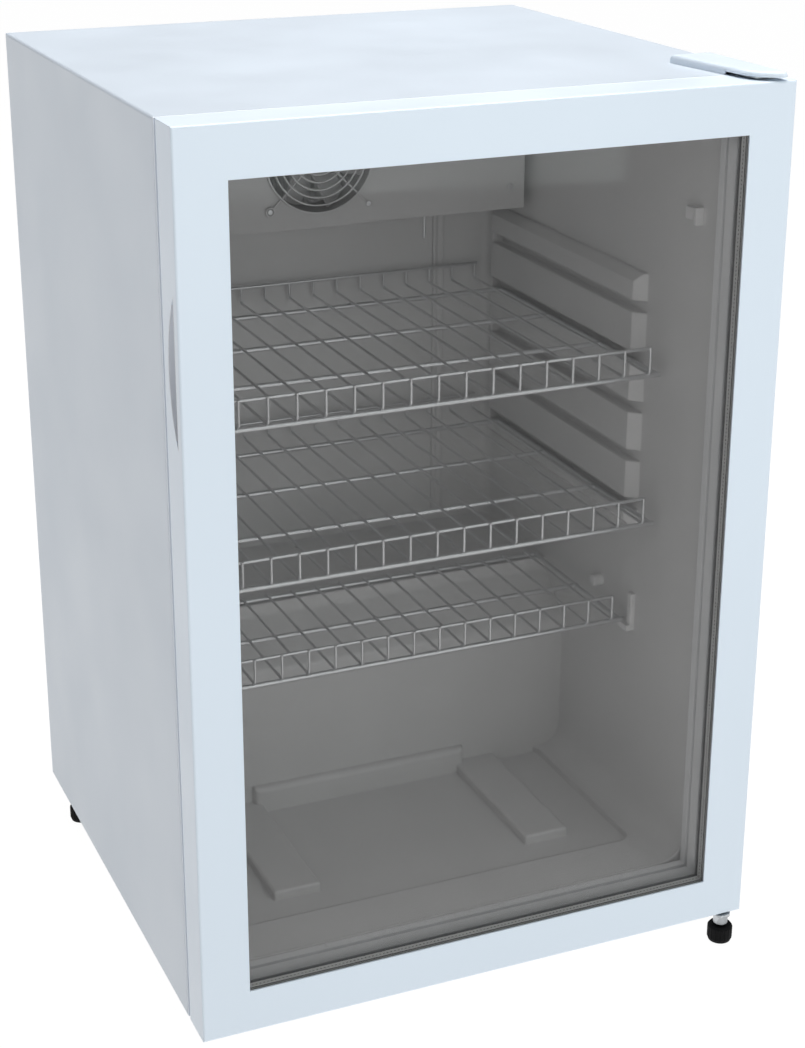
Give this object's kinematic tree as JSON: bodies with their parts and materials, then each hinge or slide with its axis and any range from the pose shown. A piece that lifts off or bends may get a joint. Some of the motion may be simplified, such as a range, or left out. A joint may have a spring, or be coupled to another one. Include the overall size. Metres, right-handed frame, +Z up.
{
  "type": "glass door refrigerator",
  "caption": "Under-counter reach in refrigerator with a framed glass door, wire shelves, a fan-blown coil, and a rear machine compartment.",
  "frame": {"origin": "on the floor, under the middle of the machine's bounding box", "axes": "+Z up, +X to the user's right, +Y to the back; the door opens towards -Y"},
  "size_m": [0.55, 0.566, 0.8476],
  "materials": {
    "painted_sheet": "satin",
    "cover_sheet": "satin",
    "liner_plastic": "satin",
    "fitting_plastic": "satin",
    "foam": "matte",
    "zinc_sheet": "satin",
    "bright_steel": "satin",
    "black_enamel": "satin",
    "motor_iron": "matte",
    "black_rubber": "matte",
    "dark_plastic": "matte",
    "fan_plastic": "satin",
    "pale_plastic": "matte",
    "copper": "satin",
    "coil_aluminium": "satin",
    "guard_wire": "satin",
    "shelf_wire": "satin",
    "control_plastic": "satin",
    "knob_plastic": "satin",
    "rocker_plastic": "gloss",
    "lens_plastic": "satin",
    "board": "matte",
    "door_plastic": "satin",
    "inner_frame_plastic": "satin",
    "pane_glass": "gloss",
    "spacer_bar": "satin",
    "seal_rubber": "matte",
    "cup_plastic": "matte",
    "bush_nylon": "matte",
    "foot_plastic": "matte"
  },
  "bodies": {
    "cabinet": {"outer_wrap": "painted_sheet", "evaporator_cover": "cover_sheet", "inner_liner": "liner_plastic", "front_flange": "liner_plastic", "drain_channel": "liner_plastic", "wall_hook": "fitting_plastic", "shelf_pegs": "fitting_plastic", "foam_insulation": "foam", "back_panel": "zinc_sheet", "base_pan": "zinc_sheet", "compressor_plate": "zinc_sheet", "lower_hinge_bracket": "zinc_sheet", "upper_hinge_bracket": "zinc_sheet", "foot_sockets": "zinc_sheet", "condenser_brackets": "zinc_sheet", "cover_screws": "bright_steel", "hinge_screws": "bright_steel", "upper_hinge_pin": "bright_steel", "lower_hinge_pin": "bright_steel", "sensor_probe": "bright_steel", "compressor_shell": "black_enamel", "condenser_tube": "black_enamel", "condenser_wires": "black_enamel", "compressor_motor": "motor_iron", "compressor_grommets": "black_rubber", "cord_gland": "black_rubber", "relay_cover": "dark_plastic", "drier_strap": "dark_plastic", "fan_frame": "fan_plastic", "drip_tray": "pale_plastic", "drain_tube": "pale_plastic", "discharge_line": "copper", "suction_line": "copper", "filter_drier": "copper", "evaporator_fins": "coil_aluminium", "evaporator_tube": "coil_aluminium", "fan_guard": "guard_wire", "control_housing": "control_plastic", "lamp_lens": "lens_plastic", "lamp_board": "board", "hinge_cover": "door_plastic"},
    "door": {"door_frame": "door_plastic", "glass_outer": "pane_glass", "glass_inner": "pane_glass", "glass_spacer": "spacer_bar", "door_inner_frame": "inner_frame_plastic", "door_gasket": "seal_rubber", "handle_cup": "cup_plastic", "upper_hinge_bush": "bush_nylon", "lower_hinge_bush": "bush_nylon"},
    "fan": {"fan_rotor": "fan_plastic"},
    "thermostat": {"thermostat_knob": "knob_plastic"},
    "lamp_rocker": {"lamp_switch": "rocker_plastic"},
    "top_shelf": {"shelf_top": "shelf_wire"},
    "middle_shelf": {"shelf_middle": "shelf_wire"},
    "bottom_shelf": {"shelf_bottom": "shelf_wire"},
    "foot_front_right_screw": {"foot_front_right": "foot_plastic"},
    "foot_front_left_screw": {"foot_front_left": "foot_plastic"},
    "foot_rear_left_screw": {"foot_rear_left": "foot_plastic"},
    "foot_rear_right_screw": {"foot_rear_right": "foot_plastic"}
  },
  "joints": [
    {"name": "door_hinge", "type": "hinge", "parent": "cabinet", "child": "door", "pos_m": [0.258, -0.257, 0.43625], "axis": [0, 0, 1], "range_deg": [0, 115]},
    {"name": "fan_spin", "type": "hinge", "parent": "cabinet", "child": "fan", "pos_m": [0, 0.153, 0.7225], "axis": [0, 1, 0], "continuous": true},
    {"name": "thermostat_turn", "type": "hinge", "parent": "cabinet", "child": "thermostat", "pos_m": [0.042, -0.082, 0.7735], "axis": [0, 0, 1], "range_deg": [0, 270]},
    {"name": "lamp_rocker_tip", "type": "hinge", "parent": "cabinet", "child": "lamp_rocker", "pos_m": [-0.046, -0.072, 0.7755], "axis": [0, 1, 0], "range_deg": [0, 12]},
    {"name": "top_shelf_slide", "type": "slide", "parent": "cabinet", "child": "top_shelf", "axis": [0, -1, 0], "range_m": [0, 0.065]},
    {"name": "middle_shelf_slide", "type": "slide", "parent": "cabinet", "child": "middle_shelf", "axis": [0, -1, 0], "range_m": [0, 0.065]},
    {"name": "bottom_shelf_slide", "type": "slide", "parent": "cabinet", "child": "bottom_shelf", "axis": [0, -1, 0], "range_m": [0, 0.045]},
    {"name": "foot_front_right_adjust", "type": "slide", "parent": "cabinet", "child": "foot_front_right_screw", "axis": [0, 0, -1], "range_m": [0, 0.006]},
    {"name": "foot_front_left_adjust", "type": "slide", "parent": "cabinet", "child": "foot_front_left_screw", "axis": [0, 0, -1], "range_m": [0, 0.006]},
    {"name": "foot_rear_left_adjust", "type": "slide", "parent": "cabinet", "child": "foot_rear_left_screw", "axis": [0, 0, -1], "range_m": [0, 0.006]},
    {"name": "foot_rear_right_adjust", "type": "slide", "parent": "cabinet", "child": "foot_rear_right_screw", "axis": [0, 0, -1], "range_m": [0, 0.006]}
  ]
}
